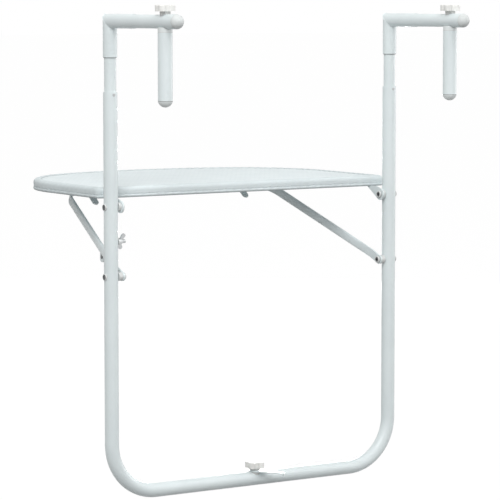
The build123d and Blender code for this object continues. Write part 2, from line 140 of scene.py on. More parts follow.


# %% [markdown]
# ## Painted and moulded finishes
# Powder paint has a fine orange peel and a faint cloudiness. Moulded plastic is duller, with a finer
# grain. One recipe serves both: a large soft noise varies the colour a little, and a small one makes
# the bump. The woven pieces also carry a number at each vertex, low in their valleys and high on their
# strands. Where it is low the finish is mixed towards a darker colour: painted shade in the valleys.

# %% Finish recipe
cloud_low = 0.35
cloud_high = 0.65
grain_strength = 0.35
full_stand = 0.45


def mottled_finish(name, colour, shade, roughness, grain_scale, grain_height,
                   cloud_scale=14.0, valley_shade=None):
    """A pale coat: colour and shade mixed by soft clouds, with a fine grain in the surface."""
    finish, shader = new_finish(name, roughness)
    place = add_node(finish, "ShaderNodeTexCoord")
    clouds = add_node(finish, "ShaderNodeTexNoise", Scale=cloud_scale, Detail=3.0)
    join(finish, place.outputs["Object"], clouds.inputs["Vector"])
    colours = add_node(finish, "ShaderNodeValToRGB")
    colours.color_ramp.elements[0].position = cloud_low
    colours.color_ramp.elements[0].color = (*shade, 1.0)
    colours.color_ramp.elements[1].position = cloud_high
    colours.color_ramp.elements[1].color = (*colour, 1.0)
    join(finish, clouds.outputs["Fac"], colours.inputs["Fac"])
    coat = colours.outputs["Color"]
    # Painted shade: where the stand attribute is low, in the valleys, the coat is mixed towards a darker
    # colour.
    if valley_shade is not None:
        stand = add_node(finish, "ShaderNodeAttribute", attribute_name="stand")
        shade_mix = add_node(finish, "ShaderNodeMix", data_type="RGBA")
        shade_mix.inputs["A"].default_value = (*valley_shade, 1.0)
        height_share = add_node(finish, "ShaderNodeMapRange")
        height_share.inputs["From Max"].default_value = full_stand
        join(finish, stand.outputs["Fac"], height_share.inputs["Value"])
        join(finish, height_share.outputs["Result"], shade_mix.inputs["Factor"])
        join(finish, coat, shade_mix.inputs["B"])
        coat = shade_mix.outputs["Result"]
    join(finish, coat, shader.inputs["Base Color"])
    grain = add_node(finish, "ShaderNodeTexNoise", Scale=grain_scale, Detail=2.0)
    join(finish, place.outputs["Object"], grain.inputs["Vector"])
    bump = add_node(finish, "ShaderNodeBump", Strength=grain_strength, Distance=grain_height)
    join(finish, grain.outputs["Fac"], bump.inputs["Height"])
    join(finish, bump.outputs["Normal"], shader.inputs["Normal"])
    return finish, shader


# %% Paint
white_paint, paint_shader = mottled_finish(
    "white_powder_paint", colour=(0.745, 0.812, 0.822), shade=(0.715, 0.782, 0.795), roughness=0.38,
    grain_scale=900.0, grain_height=0.0003)
paint_shader.inputs["Coat Weight"].default_value = 0.12
paint_shader.inputs["Coat Roughness"].default_value = 0.25
print("Paint:", white_paint.name)

# %% [markdown]
# ## Plastics
# The top is one large moulding with a fine grain. The part inside the border and the rim get painted
# shade in their valleys, and the rim is a darker, duller copy of the same plastic, painted shade for
# its brightly lit shoulder. The knobs, caps and washers are small mouldings that share a still finer
# grain, and differ in how white and how dull they are.


# %% Plastic recipes
def top_moulding(name, colour, shade, roughness, valley_shade=None):
    return mottled_finish(name, colour, shade, roughness, grain_scale=1400.0, grain_height=0.0002,
                          cloud_scale=22.0, valley_shade=valley_shade)


def small_moulding(name, colour, shade, roughness, cloud_scale=60.0):
    return mottled_finish(name, colour, shade, roughness, grain_scale=1600.0, grain_height=0.00012,
                          cloud_scale=cloud_scale)


# %% Plastics of the top
dull_gloss = 0.30
top_plastic, _ = top_moulding(
    "tabletop_plastic", colour=(0.790, 0.862, 0.880), shade=(0.755, 0.830, 0.850), roughness=0.52)
# Painted shade: the darker valley colour of the weave stands for the shade in its hollows.
woven_plastic, _ = top_moulding(
    "woven_top_plastic", colour=(0.772, 0.842, 0.858), shade=(0.746, 0.818, 0.836), roughness=0.52,
    valley_shade=(0.600, 0.662, 0.678))
# Painted shade: a darker copy of the top's plastic, with a very dark valley colour for the shadow line.
shaded_rim_plastic, rim_shader = top_moulding(
    "shaded_braided_rim_plastic", colour=(0.705, 0.770, 0.786), shade=(0.680, 0.746, 0.762), roughness=0.66,
    valley_shade=(0.430, 0.475, 0.487))
rim_shader.inputs["Specular IOR Level"].default_value = dull_gloss
print("Top:", top_plastic.name, woven_plastic.name, shaded_rim_plastic.name)

# %% Plastics of the small mouldings
knob_plastic, _ = small_moulding(
    "white_knob_plastic", colour=(0.800, 0.800, 0.778), shade=(0.760, 0.762, 0.740), roughness=0.46)
collar_plastic, _ = small_moulding(
    "grey_collar_plastic", colour=(0.640, 0.650, 0.635), shade=(0.590, 0.600, 0.585), roughness=0.52)
cap_plastic, _ = small_moulding(
    "white_cap_plastic", colour=(0.752, 0.792, 0.792), shade=(0.718, 0.758, 0.758), roughness=0.50)
# Painted shade: a darker copy of the cap plastic for the domes on the arms' ends, which sit in strong
# light.
shaded_dome_plastic, shaded_dome_shader = small_moulding(
    "shaded_white_dome_plastic", colour=(0.672, 0.702, 0.700), shade=(0.636, 0.666, 0.664), roughness=0.60)
shaded_dome_shader.inputs["Specular IOR Level"].default_value = dull_gloss
washer_plastic, _ = small_moulding(
    "white_washer_plastic", colour=(0.700, 0.715, 0.710), shade=(0.650, 0.665, 0.660), roughness=0.55,
    cloud_scale=70.0)
# Painted shadow: this dark grey goes on thin rings where the gaps under the legs and over the jaw caps are
# in shade.
shadow_line_plastic, _ = small_moulding(
    "dark_shadow_line_plastic", colour=(0.230, 0.235, 0.235), shade=(0.195, 0.200, 0.200), roughness=0.60,
    cloud_scale=90.0)
print("Mouldings:", knob_plastic.name, collar_plastic.name, cap_plastic.name, shaded_dome_plastic.name,
      washer_plastic.name, shadow_line_plastic.name)

# %% [markdown]
# ## Dull zinc
# The bolts and nuts are plated steel. Zinc looks streaky and slightly yellow-grey, so a stretched noise
# drives both its colour and its roughness, and the shader is fully metallic.

# %% Zinc finish
streak_scale = (40.0, 320.0, 320.0)
zinc_gloss = 0.34
zinc_dullness = 0.55


def zinc_finish(name, light, dark):
    finish, shader = new_finish(name, zinc_gloss)
    shader.inputs["Metallic"].default_value = 1.0
    place = add_node(finish, "ShaderNodeTexCoord")
    stretch = add_node(finish, "ShaderNodeMapping")
    stretch.inputs["Scale"].default_value = streak_scale
    join(finish, place.outputs["Object"], stretch.inputs["Vector"])
    streaks = add_node(finish, "ShaderNodeTexNoise", Scale=1.0, Detail=4.0)
    join(finish, stretch.outputs["Vector"], streaks.inputs["Vector"])
    colours = add_node(finish, "ShaderNodeValToRGB")
    colours.color_ramp.elements[0].color = (*dark, 1.0)
    colours.color_ramp.elements[1].color = (*light, 1.0)
    join(finish, streaks.outputs["Fac"], colours.inputs["Fac"])
    join(finish, colours.outputs["Color"], shader.inputs["Base Color"])
    dullness = add_node(finish, "ShaderNodeMapRange")
    dullness.inputs["To Min"].default_value = zinc_gloss
    dullness.inputs["To Max"].default_value = zinc_dullness
    join(finish, streaks.outputs["Fac"], dullness.inputs["Value"])
    join(finish, dullness.outputs["Result"], shader.inputs["Roughness"])
    return finish


dark_zinc = zinc_finish("dark_zinc", light=(0.17, 0.175, 0.175), dark=(0.09, 0.095, 0.10))
pale_zinc = zinc_finish("pale_zinc", light=(0.62, 0.635, 0.64), dark=(0.48, 0.495, 0.50))
print("Zinc finishes:", dark_zinc.name, pale_zinc.name)

# %% [markdown]
# ## Finishes on the CAD nodes
# The record names a slot for each node, so the finishes go on by slot and no node is missed. A few go
# by name: the small set screws at the tube's mouths and the lock stud are bright zinc, paler than the
# bolts, the domes on the arms' ends are darker and duller than the other caps, their darker colour a
# painted shade for the strong light over the arms, and the saddles are as white as the other caps.

# %% Dress the CAD nodes
slot_finish = {
    "frame_paint": white_paint,
    "top_plastic": top_plastic,
    "knob_plastic": knob_plastic,
    "cap_plastic": cap_plastic,
    "washer_plastic": washer_plastic,
    "bolt_steel": dark_zinc,
    "wing_zinc": pale_zinc,
}
node_finish = {
    "tube_set_screws": pale_zinc,
    "lock_stud": pale_zinc,
    "right_arm_cap": shaded_dome_plastic,
    "left_arm_cap": shaded_dome_plastic,
    "right_jaw_saddle": cap_plastic,
    "left_jaw_saddle": cap_plastic,
}
for subpart in frame["record"]["subparts"]:
    name = subpart["node"]
    node = frame["nodes"][name]
    node.data.materials.clear()
    node.data.materials.append(node_finish.get(name, slot_finish[subpart["material_slot"]]))
print("Dressed nodes:", len(frame["nodes"]))

# %% [markdown]
# ## The outline of the top
# The rim and the woven field both follow the top's outline. It is a ring of straight lines and arcs,
# and each of its nine runs is kept as its length and a function of the share along it. The same share
# on a ring that lies further in gives the matching point, so a band of such rings never folds over at a
# corner.

# %% Outline of the top
half_width = 0.2965
back_edge = -0.028
top_depth = 0.387
front_corner = 0.200
bow_radius = 0.520
back_corner = 0.008
sharp_corner = 0.0008
rim_bottom = -0.284
rim_top = -0.268
bow_y = back_edge - top_depth + bow_radius
corner_x = half_width - front_corner
corner_y = bow_y - math.sqrt((bow_radius - front_corner) ** 2 - corner_x ** 2)
front_turn = math.atan2(bow_y - corner_y, corner_x)


def straight(start, end):
    run = Vector(end) - Vector(start)
    outward = Vector((-run.y, run.x)).normalized()
    return run.length, lambda t: (Vector(start) + run * t, outward)


def bend(centre, radius, first, last):
    def at(t):
        angle = first + (last - first) * t
        outward = Vector((math.cos(angle), math.sin(angle)))
        return Vector(centre) + outward * radius, outward
    return radius * abs(last - first), at


def outline_runs(inset):
    """Runs of the outline, clockwise from above, starting at the middle of the back edge."""
    w = half_width - inset
    back = back_edge - inset
    r = max(back_corner - inset, sharp_corner)
    front = front_corner - inset
    quarter = math.pi / 2
    return [
        straight((0, back), (w - r, back)),
        bend((w - r, back - r), r, quarter, 0),
        straight((w, back - r), (w, corner_y)),
        bend((corner_x, corner_y), front, 0, -front_turn),
        bend((0, bow_y), bow_radius - inset, -front_turn, front_turn - math.pi),
        bend((-corner_x, corner_y), front, front_turn - math.pi, -math.pi),
        straight((-w, corner_y), (-w, back - r)),
        bend((r - w, back - r), r, math.pi, quarter),
        straight((r - w, back), (0, back)),
    ]


rim_length = sum(length for length, _ in outline_runs(0))
print("Rim length:", round(rim_length * 1000), "mm")

# %% [markdown]
# ## The section of the rim
# The edge of the moulding looks like a thick plait of rattan over a thin twisted cord. Its section
# starts under the cord, goes round its foot, up its face and over its crown, then up the side, over the
# rounded edge and on to the top as far as the border's groove. Each part of the section gets its own
# number of rows.

# %% Section of the rim
bead_high = 0.0035
bead_step = 0.001
bead_round = 0.00075
edge_round = 0.0045
border_width = 0.0125
rim_height = rim_top - rim_bottom
side_high = rim_height - edge_round


def on_bead_foot(t):
    angle = (1 - t) * math.pi / 2
    return (bead_round * (1 - math.cos(angle)), bead_round * (1 - math.sin(angle)),
            math.cos(angle), -math.sin(angle))


def on_bead(t):
    return 0.0, bead_round + (bead_high - 2 * bead_round) * t, 1.0, 0.0


def on_bead_crown(t):
    angle = t * math.pi / 2
    return (bead_round * (1 - math.cos(angle)), bead_high - bead_round * (1 - math.sin(angle)),
            math.cos(angle), math.sin(angle))


def on_side(t):
    return bead_step, bead_high + (side_high - bead_high) * t, 1.0, 0.0


def on_round(t):
    angle = t * math.pi / 2
    return (bead_step + edge_round * (1 - math.cos(angle)), side_high + edge_round * math.sin(angle),
            math.cos(angle), math.sin(angle))


def on_border(t):
    return bead_step + edge_round + (border_width - bead_step - edge_round) * t, rim_height, 0.0, 1.0


section = []
for part, rows in ((on_bead_foot, 3), (on_bead, 3), (on_bead_crown, 3), (on_side, 6), (on_round, 6),
                   (on_border, 6)):
    section += [(part, row / rows) for row in range(rows)]
section.append((on_border, 1.0))
plait_start = section.index((on_side, 0.0))
plait_rows = len(section) - 1 - plait_start
print("Rows in the section:", len(section))

# %% [markdown]
# ## The plait and the cord
# A plait of three strands has a simple rule: each strand swings from side to side once in a length, and
# rises over its neighbours twice. The height at any place is that of the highest strand there. A row of
# small dips on the shoulder looks like stitches, and the cord below the plait gets slanted lumps.

# %% Plait and stitches
plait_length = 0.0465
plait_count = round(rim_length / plait_length)
plait_swing = 0.26
strand_half = 0.25
under_stand = 0.55
over_stand = 0.45
plait_fade_low = 0.06
plait_fade_high = 0.10
stitch_row = 0.60
stitch_half = 0.13
stitch_depth = 0.9
stitches_per_plait = 6


def plait_stand(turn, share):
    """Height, from 0 to 1, of the highest of three plaited strands."""
    highest = 0.0
    for strand in range(3):
        phase = 2 * math.pi * (plait_count * turn + strand / 3)
        reach = (share - 0.5 - plait_swing * math.sin(phase)) / strand_half
        if abs(reach) < 1.0:
            over = 0.5 + 0.5 * math.sin(2 * phase)
            highest = max(highest, (under_stand + over_stand * over) * math.sqrt(1 - reach * reach))
    return highest * min(1.0, share / plait_fade_low, (1.0 - share) / plait_fade_high)


def stitch_dip(turn, share):
    """How deep, from 0 to 1, the row of stitches on the shoulder sinks into the plait."""
    near = max(0.0, 1 - abs(share - stitch_row) / stitch_half)
    return near * (0.5 + 0.5 * math.cos(2 * math.pi * stitches_per_plait * plait_count * turn))


print("Plaits round the rim:", plait_count)

# %% Cord
lumps_per_plait = 3
lump_slant = 0.6
cord_base = 0.4
cord_swell = 0.6
# Painted shadow line: below this share of the cord its colour fades to the darkest valley colour.
shadow_line_top = 0.30
shadow_line_blend = 0.30
gap_shade_tone = 0.30
lump_tone = 0.12


def cord_lump(turn, share):
    return abs(math.sin(math.pi * (lumps_per_plait * plait_count * turn + lump_slant * share)))


def cord_stand(turn, share):
    """Height, from 0 to 1, of the twisted cord at the rim's foot."""
    return math.sin(math.pi * share) * (cord_base + cord_swell * cord_lump(turn, share))


def cord_shade_tone(turn, share):
    """Painted shade on the cord: darker in the gaps between lumps, with a shadow line under its foot."""
    above_shadow_line = max(0.0, min(1.0, (share - shadow_line_top) / shadow_line_blend))
    return above_shadow_line * (gap_shade_tone + lump_tone * cord_lump(turn, share))


print("Lumps round the cord:", lumps_per_plait * plait_count)

# %% [markdown]
# ## The braided rim
# A grid is wrapped round the outline, one way round the ring and the other way up the section, and each
# vertex is lifted by the height of the plait or the cord there. It also gets its colour share, which
# paints shade: it is low between the strands and between the cord's lumps, nil along a shadow line
# under the cord, and rises a little towards the plait's foot. Solidify turns the skin into a closed band.

# %% Places round the ring
ring_step = 0.0020
fewest_steps = 5
ring_places = []
walked = 0.0
for number, (length, _) in enumerate(outline_runs(0)):
    steps = max(fewest_steps, round(length / ring_step))
    ring_places += [(number, step / steps, (walked + length * step / steps) / rim_length)
                    for step in range(steps)]
    walked += length
rings = [outline_runs(part(t)[0]) for part, t in section]
print("Columns round the rim:", len(ring_places))

# %% Braided rim
plait_height = 0.0010
cord_height = 0.0004
skin_lift = 0.00012
hollow_shade_tone = 0.25
foot_tone = 0.42
foot_share = 0.20
band_thickness = 0.0008
rim_middle_y = -0.2
rim_shape = bmesh.new()
shade_share_layer = rim_shape.verts.layers.float.new("stand")
bmesh.ops.create_grid(rim_shape, x_segments=len(ring_places), y_segments=len(section) - 1, size=0.5)
for corner in rim_shape.verts:
    column = round((corner.co.x + 0.5) * len(ring_places)) % len(ring_places)
    row = round((corner.co.y + 0.5) * (len(section) - 1))
    number, along, turn = ring_places[column]
    part, t = section[row]
    _, rise, out_share, up_share = part(t)
    spot, outward = rings[row][number][1](along)
    # Painted shade: tone is low in the plait's hollows and between the cord's lumps, and nil along the
    # cord's foot.
    if row < plait_start:
        stand = cord_stand(turn, row / plait_start)
        lift = skin_lift + cord_height * stand
        tone = cord_shade_tone(turn, row / plait_start)
    else:
        share = (row - plait_start) / plait_rows
        stand = plait_stand(turn, share) * (1 - stitch_depth * stitch_dip(turn, share))
        lift = skin_lift + plait_height * stand
        tone = max(hollow_shade_tone + (1 - hollow_shade_tone) * stand, foot_tone * (1 - share / foot_share))
    flat = spot + outward * (lift * out_share)
    corner.co = (flat.x, flat.y, rim_bottom + rise + lift * up_share)
    corner[shade_share_layer] = tone
bmesh.ops.remove_doubles(rim_shape, verts=rim_shape.verts, dist=merge_reach)
bmesh.ops.recalc_face_normals(rim_shape, faces=rim_shape.faces)
lowest = min(rim_shape.faces, key=lambda f: f.calc_center_median().z)
centre = lowest.calc_center_median()
if lowest.normal.dot(centre - Vector((0, rim_middle_y, centre.z))) < 0:
    bmesh.ops.reverse_faces(rim_shape, faces=rim_shape.faces)
braided_rim = piece_from(rim_shape, "braided_rim", "tabletop", shaded_rim_plastic)
band = braided_rim.modifiers.new("band_thickness", "SOLIDIFY")
band.thickness = band_thickness
band.offset = -1.0

# %% [markdown]
# ## The woven field
# Inside the border the top looks like wicker: strands run along the railing and pass over and under
# stakes, one row in step with the next but one. The grid's rows and columns divide the strands and
# stakes evenly, so the weave is the same everywhere. What lies beyond the outline is drawn in to it and
# merged, and a skirt and a floor close the field to a solid that sits in the moulding.

# %% Edge of the field
field_half = half_width - border_width
field_back = back_edge - border_width
field_corner = front_corner - border_width
field_bow = bow_radius - border_width


def field_front(x):
    """Y of the field's front edge at this x."""
    if abs(x) <= corner_x + field_corner * math.cos(front_turn):
        return bow_y - math.sqrt(field_bow ** 2 - x ** 2)
    return corner_y - math.sqrt(max(0.0, field_corner ** 2 - (abs(x) - corner_x) ** 2))


def edge_distance(x, y):
    """How far a point of the field lies from its nearest edge."""
    nearest = min(field_half - abs(x), field_back - y, field_bow - math.hypot(x, y - bow_y))
    if y < corner_y and math.atan2(corner_y - y, abs(x) - corner_x) < front_turn:
        nearest = min(nearest, field_corner - math.hypot(abs(x) - corner_x, y - corner_y))
    return max(0.0, nearest)


print("Field is", round(2 * field_half * 1000), "mm wide")

# %% Weave
strand_pitch = 0.00775
strand_base = 0.30
strand_rise = 0.70
stake_pitch = 0.0155
stake_half = 0.0040
stake_stand = 0.5
row_margin = 1e-6


def weave_stand(x, y):
    """Height, from 0 to 1, of the strand or the stake on top."""
    row = math.floor((field_back - y) / strand_pitch + row_margin)
    across = 2 * ((field_back - y) / strand_pitch - row) - 1
    over = 0.5 + 0.5 * math.cos(math.pi * (x / stake_pitch + row))
    strand = (strand_base + strand_rise * over) * math.sqrt(max(0.0, 1 - across * across))
    from_stake = (x - stake_pitch * round(x / stake_pitch)) / stake_half
    stake = stake_stand * math.sqrt(max(0.0, 1 - from_stake * from_stake))
    return max(strand, stake)


print("Weave on a stake:", weave_stand(0.0, field_back - strand_pitch / 2))

# %% Woven field
weave_height = 0.0009
edge_fade = 0.0040
skirt_depth = 0.0015
cuts_per_pitch = 6
step_x = stake_pitch / cuts_per_pitch
step_y = strand_pitch / cuts_per_pitch
columns = 2 * math.ceil(field_half / step_x)
rows = math.ceil((field_back - bow_y + field_bow) / step_y)
field_shape = bmesh.new()
shade_share_layer = field_shape.verts.layers.float.new("stand")
bmesh.ops.create_grid(field_shape, x_segments=columns, y_segments=rows, size=0.5)
for corner in field_shape.verts:
    x = round(corner.co.x * columns) * step_x
    x = max(-field_half, min(field_half, x))
    y = max(field_front(x), field_back - round((0.5 - corner.co.y) * rows) * step_y)
    fade = min(1.0, edge_distance(x, y) / edge_fade)
    stand = weave_stand(x, y) * fade
    corner.co = (x, y, rim_top + skin_lift + weave_height * stand)
    # The weave's height is also its painted shade share: its valleys get the darker colour.
    corner[shade_share_layer] = stand
bmesh.ops.remove_doubles(field_shape, verts=field_shape.verts, dist=merge_reach)
bmesh.ops.dissolve_degenerate(field_shape, edges=field_shape.edges, dist=fine_reach)
rim_edges = [e for e in field_shape.edges if e.is_boundary]
skirt = bmesh.ops.extrude_edge_only(field_shape, edges=rim_edges)
skirt_verts = [g for g in skirt["geom"] if isinstance(g, bmesh.types.BMVert)]
for corner in skirt_verts:
    corner.co.z = rim_top - skirt_depth
floor_edges = [g for g in skirt["geom"] if isinstance(g, bmesh.types.BMEdge) and g.is_boundary]
bmesh.ops.contextual_create(field_shape, geom=floor_edges)
bmesh.ops.recalc_face_normals(field_shape, faces=field_shape.faces)
print("Open edges:", sum(1 for e in field_shape.edges if not e.is_manifold))
piece_from(field_shape, "woven_field", "tabletop", woven_plastic)

# %% [markdown]
# ## Grooved collars under the knobs
# Each knob turns on a short grey collar with upright grooves. A cone with equal ends is a drum, and
# moving every third and fourth vertex of its wall inwards cuts the grooves.

# %% Knob collars
groove_count = 20
parts_per_groove = 4
collar_radius = 0.0087
collar_groove = 0.0006
collar_height = 0.0036


def knob_collar(knob):
    low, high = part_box(knob)
    foot = Vector(((low[0] + high[0]) / 2, (low[1] + high[1]) / 2, low[2]))
    shape = bmesh.new()
    wall_parts = parts_per_groove * groove_count
    bmesh.ops.create_cone(shape, cap_ends=True, segments=wall_parts, radius1=collar_radius,
                          radius2=collar_radius, depth=collar_height)
    for corner in shape.verts:
        number = round(math.atan2(corner.co.y, corner.co.x) / (2 * math.pi) * wall_parts)
        if number % parts_per_groove >= parts_per_groove / 2:
            corner.co.xy *= (collar_radius - collar_groove) / collar_radius
    bmesh.ops.translate(shape, verts=shape.verts, vec=foot + Vector((0, 0, collar_height / 2)))
    return piece_from(shape, knob + "_collar", knob, collar_plastic, smooth=False)


for knob in ("right_jaw_knob", "left_jaw_knob", "foot_knob"):
    knob_collar(knob)

# %% [markdown]
# ## Turned rings
# Several small pieces are rings: the dark rings that paint the shadow lines under each hook's leg and on
# the clamps, and the white trim round each bolt. A ring is turned from a small section: the section is
# stood in the plane of the axis, moved out to its radius and spun round. Its sharp edges get a small
# bevel, so that they catch the light.

# %% Ring helper
ring_steps = 40
ring_bevel = 0.0001
sharp_turn = math.radians(60)


def add_shape(shape, part):
    """Moves everything in one bmesh into another."""
    carrier = bpy.data.meshes.new("carrier")
    part.to_mesh(carrier)
    part.free()
    shape.from_mesh(carrier)
    bpy.data.meshes.remove(carrier)


def turned_ring(shape, foot, direction, inner, outer, height, soften=ring_bevel):
    """Adds a ring to a bmesh: it stands on its foot and rises in the direction given."""
    ring = bmesh.new()
    bmesh.ops.create_grid(ring, x_segments=1, y_segments=1, size=0.5)
    bmesh.ops.delete(ring, geom=list(ring.faces), context="FACES_ONLY")
    bmesh.ops.rotate(ring, verts=ring.verts, cent=(0, 0, 0), matrix=Matrix.Rotation(math.pi / 2, 3, "X"))
    bmesh.ops.scale(ring, verts=ring.verts, vec=(outer - inner, 1, height))
    bmesh.ops.translate(ring, verts=ring.verts, vec=((inner + outer) / 2, 0, height / 2))
    bmesh.ops.spin(ring, geom=list(ring.verts) + list(ring.edges), cent=(0, 0, 0), axis=(0, 0, 1),
                   angle=2 * math.pi, steps=ring_steps, use_merge=True)
    bmesh.ops.remove_doubles(ring, verts=ring.verts, dist=fine_reach)
    bmesh.ops.recalc_face_normals(ring, faces=ring.faces)
    sharp = [e for e in ring.edges if e.calc_face_angle(0.0) > sharp_turn]
    bmesh.ops.bevel(ring, geom=sharp, offset=soften, affect="EDGES", segments=2, profile=0.5, material=-1)
    turn = Vector(direction).to_track_quat("Z", "Y").to_matrix()
    bmesh.ops.rotate(ring, verts=ring.verts, cent=(0, 0, 0), matrix=turn)
    bmesh.ops.translate(ring, verts=ring.verts, vec=foot)
    add_shape(shape, ring)


# %% [markdown]
# ## Painted shadow lines and mitres of the clamps
# A thin dark grey ring round the tube that slides in each hook's leg paints the shadow in the gap under
# the leg, and shows as a thin line. Two more thin rings paint shadow lines on each jaw, under its saddle
# and over its end cap. The arm meets the leg in a mitre with a fine weld bead: a torus stretched to the
# mitre's ellipse.

# %% Mitre bead helper
tube_radius = 0.012
bead_radius = 0.0006
bead_sides = 8
bead_steps = 64
mitre_turn = math.radians(135)


def mitre_bead(name, body, corner):
    shape = bmesh.new()
    bmesh.ops.create_circle(shape, segments=bead_sides, radius=bead_radius)
    bmesh.ops.rotate(shape, verts=shape.verts, cent=(0, 0, 0), matrix=Matrix.Rotation(math.pi / 2, 3, "X"))
    bmesh.ops.translate(shape, verts=shape.verts, vec=(tube_radius, 0, 0))
    bmesh.ops.spin(shape, geom=list(shape.verts) + list(shape.edges), cent=(0, 0, 0), axis=(0, 0, 1),
                   angle=2 * math.pi, steps=bead_steps, use_merge=True)
    bmesh.ops.remove_doubles(shape, verts=shape.verts, dist=merge_reach)
    bmesh.ops.recalc_face_normals(shape, faces=shape.faces)
    bmesh.ops.scale(shape, verts=shape.verts, vec=(1, math.sqrt(2), 1))
    bmesh.ops.rotate(shape, verts=shape.verts, cent=(0, 0, 0), matrix=Matrix.Rotation(mitre_turn, 3, "X"))
    bmesh.ops.translate(shape, verts=shape.verts, vec=corner)
    return piece_from(shape, name, body, white_paint)


# %% Clamp details
half_spacing = 0.2875
inner_tube_radius = 0.0102
leg_end = -0.048
shadow_ring_height = 0.0009
shadow_ring_gap = 0.0001
shadow_ring_step = 0.0006
jaw_reach = 0.176
saddle_foot = -0.0045
seam_height = 0.0008
seam_depth = 0.0008
seam_stand = 0.00006
upward = (0, 0, 1)
# Painted shadow lines: a dark ring under each leg, a grey one under each saddle and a dark one over each
# jaw cap.
for side, sign in (("right", 1), ("left", -1)):
    shadow_ring = bmesh.new()
    turned_ring(shadow_ring, (sign * half_spacing, 0, leg_end - shadow_ring_height), upward,
                inner_tube_radius + shadow_ring_gap, tube_radius - shadow_ring_step, shadow_ring_height)
    piece_from(shadow_ring, side + "_leg_shadow_ring", side + "_hook", shadow_line_plastic)
    mitre_bead(side + "_mitre_bead", side + "_hook", (sign * half_spacing, 0, tube_radius))
    jaw_tube_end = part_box(side + "_jaw_tube")[0][2]
    shadow_seams = (("saddle", saddle_foot, collar_plastic), ("cap", jaw_tube_end, shadow_line_plastic))
    for place, seam_top, finish in shadow_seams:
        shadow_seam = bmesh.new()
        turned_ring(shadow_seam, (sign * half_spacing, jaw_reach, seam_top - seam_height), upward,
                    tube_radius - seam_depth, tube_radius + seam_stand, seam_height)
        piece_from(shadow_seam, side + "_" + place + "_seam", side + "_jaw", finish)

# %% [markdown]
# ## Trim rings round the pivots
# The bolts that carry the top and the brace are dark, but only their middles show. A white ring covers
# the shoulder of each head on the inside and the edge of each nut on the outside. Each is given as its
# inner and outer radius, its height and its bevel.

# %% Pivot trim
hinge_z = -0.298
brace_z = -0.415
hinge_head = 0.2673
brace_head = 0.2648
head_ring = (0.0039, 0.00615, 0.00335, 0.0007)
nut_foot = 0.2980
nut_ring = (0.0047, 0.00565, 0.00305, 0.0003)
trim = bmesh.new()
for sign in (1, -1):
    for head_x, pivot_z in ((hinge_head, hinge_z), (brace_head, brace_z)):
        turned_ring(trim, (sign * head_x, 0, pivot_z), (-sign, 0, 0), *head_ring)
        turned_ring(trim, (sign * nut_foot, 0, pivot_z), (sign, 0, 0), *nut_ring)
piece_from(trim, "pivot_trim_rings", "frame", washer_plastic)

# %% [markdown]
# ## Swelling of the brace's legs
# The brace is a strip whose legs are pressed to a flat oval, which makes them stiff and gives them a
# soft shade from edge to edge. Each swelling starts as a drum of many rings. Its section is then drawn
# out to an oval with square shoulders, and its ends run out to the strip's own thickness.

# %% Brace legs
brace_slope = math.radians(23.056)
leg_foot = Vector((0.2664, 0.025))
leg_corner = Vector((0.212, 0.321))
swell_from = 0.008
swell_to = 0.262
swell_fade = 0.040
oval_half_width = 0.0077
oval_half_depth = 0.0033
strip_half_depth = 0.0017
oval_power = 2 / 3
swell_sides = 28
swell_cuts = 40


def drawn_out(value):
    return math.copysign(abs(value) ** oval_power, value)


swell_shape = bmesh.new()
along_leg = (leg_corner - leg_foot).normalized()
for sign in (1, -1):
    drum = bmesh.new()
    bmesh.ops.create_cone(drum, cap_ends=True, segments=swell_sides, radius1=1.0, radius2=1.0, depth=1.0)
    lengthwise = [e for e in drum.edges if abs(e.verts[0].co.z - e.verts[1].co.z) > 0.5]
    bmesh.ops.subdivide_edges(drum, edges=lengthwise, cuts=swell_cuts, use_grid_fill=True)
    for corner in drum.verts:
        share = corner.co.z + 0.5
        run = swell_from + (swell_to - swell_from) * share
        end = min(1.0, (run - swell_from) / swell_fade, (swell_to - run) / swell_fade)
        depth = strip_half_depth + (oval_half_depth - strip_half_depth) * end * end * (3 - 2 * end)
        angle = math.atan2(corner.co.y, corner.co.x)
        out = depth * drawn_out(math.cos(angle))
        down = oval_half_width * drawn_out(math.sin(angle))
        flat = leg_foot + along_leg * run + Vector((along_leg.y, -along_leg.x)) * out
        corner.co = (sign * flat.x,
                     -math.cos(brace_slope) * flat.y - math.sin(brace_slope) * down,
                     brace_z + math.sin(brace_slope) * flat.y - math.cos(brace_slope) * down)
    bmesh.ops.recalc_face_normals(drum, faces=drum.faces)
    add_shape(swell_shape, drum)
piece_from(swell_shape, "brace_leg_swells", "brace", white_paint)

# %% [markdown]
# ## Thread on the lock stud
# The wing nut runs on a threaded stud. A thread is a small triangle that is spun round the stud and
# moved along it at the same time, and its two open ends are filled.

# %% Stud thread
stud_radius = 0.0030
thread_pitch = 0.0010
thread_turns = 6
thread_steps = 20
thread_depth = 0.00045
thread_start = 0.0087
lock_root = Vector((0.2755, 0, -0.356))
thread_shape = bmesh.new()
bmesh.ops.create_circle(thread_shape, segments=3, radius=thread_depth)
bmesh.ops.rotate(thread_shape, verts=thread_shape.verts, cent=(0, 0, 0),
                 matrix=Matrix.Rotation(math.pi, 3, "Z"))
bmesh.ops.translate(thread_shape, verts=thread_shape.verts, vec=(-thread_start, stud_radius, 0))
bmesh.ops.spin(thread_shape, geom=list(thread_shape.verts) + list(thread_shape.edges), cent=(0, 0, 0),
               axis=(1, 0, 0), dvec=(-thread_pitch / thread_steps, 0, 0), angle=2 * math.pi * thread_turns,
               steps=thread_steps * thread_turns)
bmesh.ops.holes_fill(thread_shape, edges=thread_shape.edges, sides=4)
bmesh.ops.recalc_face_normals(thread_shape, faces=thread_shape.faces)
bmesh.ops.translate(thread_shape, verts=thread_shape.verts, vec=lock_root)
piece_from(thread_shape, "lock_stud_thread", "frame", pale_zinc, smooth=False)

